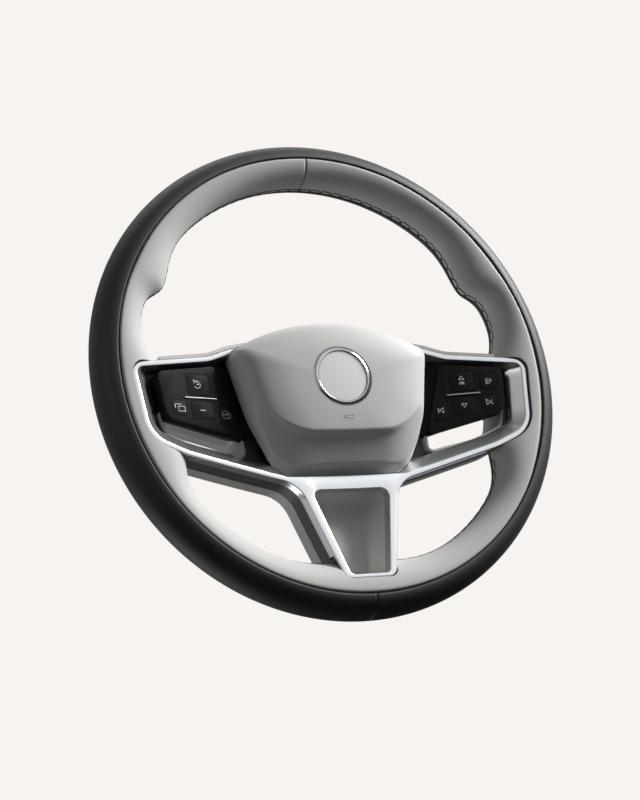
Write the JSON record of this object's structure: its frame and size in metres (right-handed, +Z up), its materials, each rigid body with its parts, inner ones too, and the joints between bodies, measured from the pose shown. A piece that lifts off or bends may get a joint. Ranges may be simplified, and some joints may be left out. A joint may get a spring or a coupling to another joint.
{
  "type": "car steering wheel",
  "caption": "Steering wheel with a two-tone leather rim, satin chrome looped spokes, two keypads and a sprung horn pad with a plain round badge.",
  "frame": {"origin": "middle of the splined hub bore, on the steering axis", "axes": "-Y towards the driver along the steering axis, +Z up to 12 o'clock, +X to the driver's right"},
  "size_m": [0.37, 0.0817, 0.37],
  "materials": {
    "black_leather": "satin",
    "grey_leather": "satin",
    "foam": "matte",
    "cast_metal": "matte",
    "satin_chrome": "satin",
    "dark_plastic": "matte",
    "grey_plastic": "matte",
    "pad_skin": "matte",
    "black_plastic": "satin",
    "steel": "satin",
    "copper": "satin",
    "airbag_cloth": "matte",
    "circuit_board": "matte",
    "white_plastic": "matte",
    "yellow_plastic": "matte"
  },
  "bodies": {
    "wheel": {"armature": "cast_metal", "rim_ring": "steel", "rim_foam": "foam", "outer_leather": "black_leather", "inner_leather": "grey_leather", "spoke_bezel": "satin_chrome", "left_inlay": "satin_chrome", "right_inlay": "satin_chrome", "spoke_shroud": "dark_plastic", "rear_cover": "grey_plastic", "lower_pocket": "grey_plastic", "cover_screws": "steel", "hub_connector": "yellow_plastic", "pin_bushes": "white_plastic", "horn_springs": "steel", "contact_plates": "copper", "left_keypad_housing": "dark_plastic", "right_keypad_housing": "dark_plastic", "left_keypad_face": "black_plastic", "right_keypad_face": "black_plastic", "left_ridge": "satin_chrome", "right_ridge": "satin_chrome", "left_circuit_board": "circuit_board", "right_circuit_board": "circuit_board", "keypad_screws": "steel"},
    "horn_pad": {"airbag_cover": "pad_skin", "badge_ring": "satin_chrome", "badge_disc": "satin_chrome", "airbag_housing": "steel", "airbag_cushion": "airbag_cloth", "gas_inflator": "steel", "inflator_nuts": "steel", "guide_pins": "steel", "contact_studs": "copper"},
    "left_up_key": {"left_up_key": "black_plastic"},
    "left_down_key": {"left_down_key": "black_plastic"},
    "left_inner_key": {"left_inner_key": "black_plastic"},
    "left_outer_key": {"left_outer_key": "black_plastic"},
    "right_up_key": {"right_up_key": "black_plastic"},
    "right_down_key": {"right_down_key": "black_plastic"},
    "right_inner_key": {"right_inner_key": "black_plastic"},
    "right_outer_key": {"right_outer_key": "black_plastic"},
    "right_voice_key": {"right_voice_key": "black_plastic"}
  },
  "joints": [
    {"name": "horn_press", "type": "slide", "parent": "wheel", "child": "horn_pad", "axis": [0, 1, 0], "range_m": [0, 0.0025], "stiffness_N_per_m": 9000, "deforming": ["horn_springs"]},
    {"name": "left_up_press", "type": "slide", "parent": "wheel", "child": "left_up_key", "axis": [-0.2096, 0.9778, 0], "range_m": [0, 0.0008], "stiffness_N_per_m": 400},
    {"name": "left_down_press", "type": "slide", "parent": "wheel", "child": "left_down_key", "axis": [-0.2096, 0.9778, 0], "range_m": [0, 0.0008], "stiffness_N_per_m": 400},
    {"name": "left_inner_press", "type": "slide", "parent": "wheel", "child": "left_inner_key", "axis": [-0.2096, 0.9778, 0], "range_m": [0, 0.0008], "stiffness_N_per_m": 400},
    {"name": "left_outer_press", "type": "slide", "parent": "wheel", "child": "left_outer_key", "axis": [-0.2096, 0.9778, 0], "range_m": [0, 0.0008], "stiffness_N_per_m": 400},
    {"name": "right_up_press", "type": "slide", "parent": "wheel", "child": "right_up_key", "axis": [0.2096, 0.9778, 0], "range_m": [0, 0.0008], "stiffness_N_per_m": 400},
    {"name": "right_down_press", "type": "slide", "parent": "wheel", "child": "right_down_key", "axis": [0.2096, 0.9778, 0], "range_m": [0, 0.0008], "stiffness_N_per_m": 400},
    {"name": "right_inner_press", "type": "slide", "parent": "wheel", "child": "right_inner_key", "axis": [0.2096, 0.9778, 0], "range_m": [0, 0.0008], "stiffness_N_per_m": 400},
    {"name": "right_outer_press", "type": "slide", "parent": "wheel", "child": "right_outer_key", "axis": [0.2096, 0.9778, 0], "range_m": [0, 0.0008], "stiffness_N_per_m": 400},
    {"name": "right_voice_press", "type": "slide", "parent": "wheel", "child": "right_voice_key", "axis": [0.2096, 0.9778, 0], "range_m": [0, 0.0008], "stiffness_N_per_m": 400}
  ]
}
